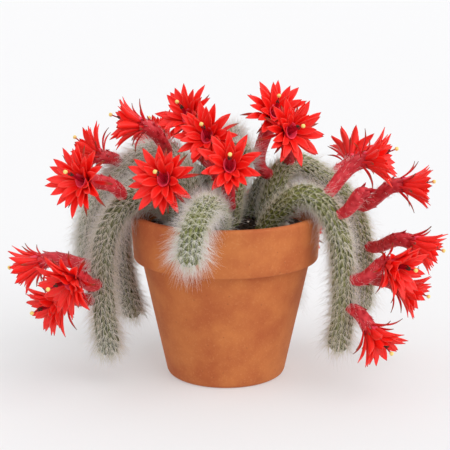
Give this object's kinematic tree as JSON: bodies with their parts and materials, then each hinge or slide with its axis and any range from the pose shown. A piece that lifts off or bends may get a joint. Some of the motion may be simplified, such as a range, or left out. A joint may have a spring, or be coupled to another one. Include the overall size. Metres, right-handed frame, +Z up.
{
  "type": "potted trailing monkey's-tail cactus",
  "caption": "Trailing cactus in a terracotta pot: long stems covered in soft white hair arch over the rim and hang down, with bright red star-shaped flowers on curved tubes",
  "frame": {"origin": "on the floor under the pot's axis, which is also the middle of the plant's own box", "axes": "+Z up along the pot's axis; -Y is the front, where the short stem hangs over the rim; +X is to the viewer's right and is the longest way across"},
  "size_m": [0.3207, 0.2271, 0.2134],
  "materials": {
    "terracotta": "unglazed orange-brown fired clay, matt, finely pitted and faintly mottled",
    "potting_soil": "dark peat-based potting mix with a few white perlite grains, matt",
    "hairy_stem": "green ribbed skin under a dense coat of fine cream-white hair",
    "flower_tube": "crimson skin with small pale scales and sparse fine hairs",
    "red_petal": "bright scarlet petals with a satin sheen and browner tips"
  },
  "bodies": {
    "root": {"terracotta_pot": "terracotta", "potting_soil": "potting_soil", "left_front_stem": "hairy_stem", "left_rear_stem": "hairy_stem", "left_back_stem": "hairy_stem", "front_stem": "hairy_stem", "centre_stem": "hairy_stem", "right_front_stem": "hairy_stem", "right_back_stem": "hairy_stem", "tall_back_stem": "hairy_stem", "back_right_stem": "hairy_stem", "back_left_stem": "hairy_stem", "flower_01_tube": "flower_tube", "flower_01_petals": "red_petal", "flower_02_tube": "flower_tube", "flower_02_petals": "red_petal", "flower_03_tube": "flower_tube", "flower_03_petals": "red_petal", "flower_04_tube": "flower_tube", "flower_04_petals": "red_petal", "flower_05_tube": "flower_tube", "flower_05_petals": "red_petal", "flower_06_tube": "flower_tube", "flower_06_petals": "red_petal", "flower_07_tube": "flower_tube", "flower_07_petals": "red_petal", "flower_08_tube": "flower_tube", "flower_08_petals": "red_petal", "flower_09_tube": "flower_tube", "flower_09_petals": "red_petal", "flower_10_tube": "flower_tube", "flower_10_petals": "red_petal", "flower_11_tube": "flower_tube", "flower_11_petals": "red_petal", "flower_12_tube": "flower_tube", "flower_12_petals": "red_petal", "flower_13_tube": "flower_tube", "flower_13_petals": "red_petal", "flower_14_tube": "flower_tube", "flower_14_petals": "red_petal", "flower_15_tube": "flower_tube", "flower_15_petals": "red_petal", "flower_16_tube": "flower_tube", "flower_16_petals": "red_petal", "flower_17_tube": "flower_tube", "flower_17_petals": "red_petal", "flower_18_tube": "flower_tube", "flower_18_petals": "red_petal", "flower_19_tube": "flower_tube", "flower_19_petals": "red_petal", "flower_20_tube": "flower_tube", "flower_20_petals": "red_petal", "flower_21_tube": "flower_tube", "flower_21_petals": "red_petal", "flower_22_tube": "flower_tube", "flower_22_petals": "red_petal", "flower_23_tube": "flower_tube", "flower_23_petals": "red_petal", "flower_bud": "flower_tube"}
  },
  "joints": []
}
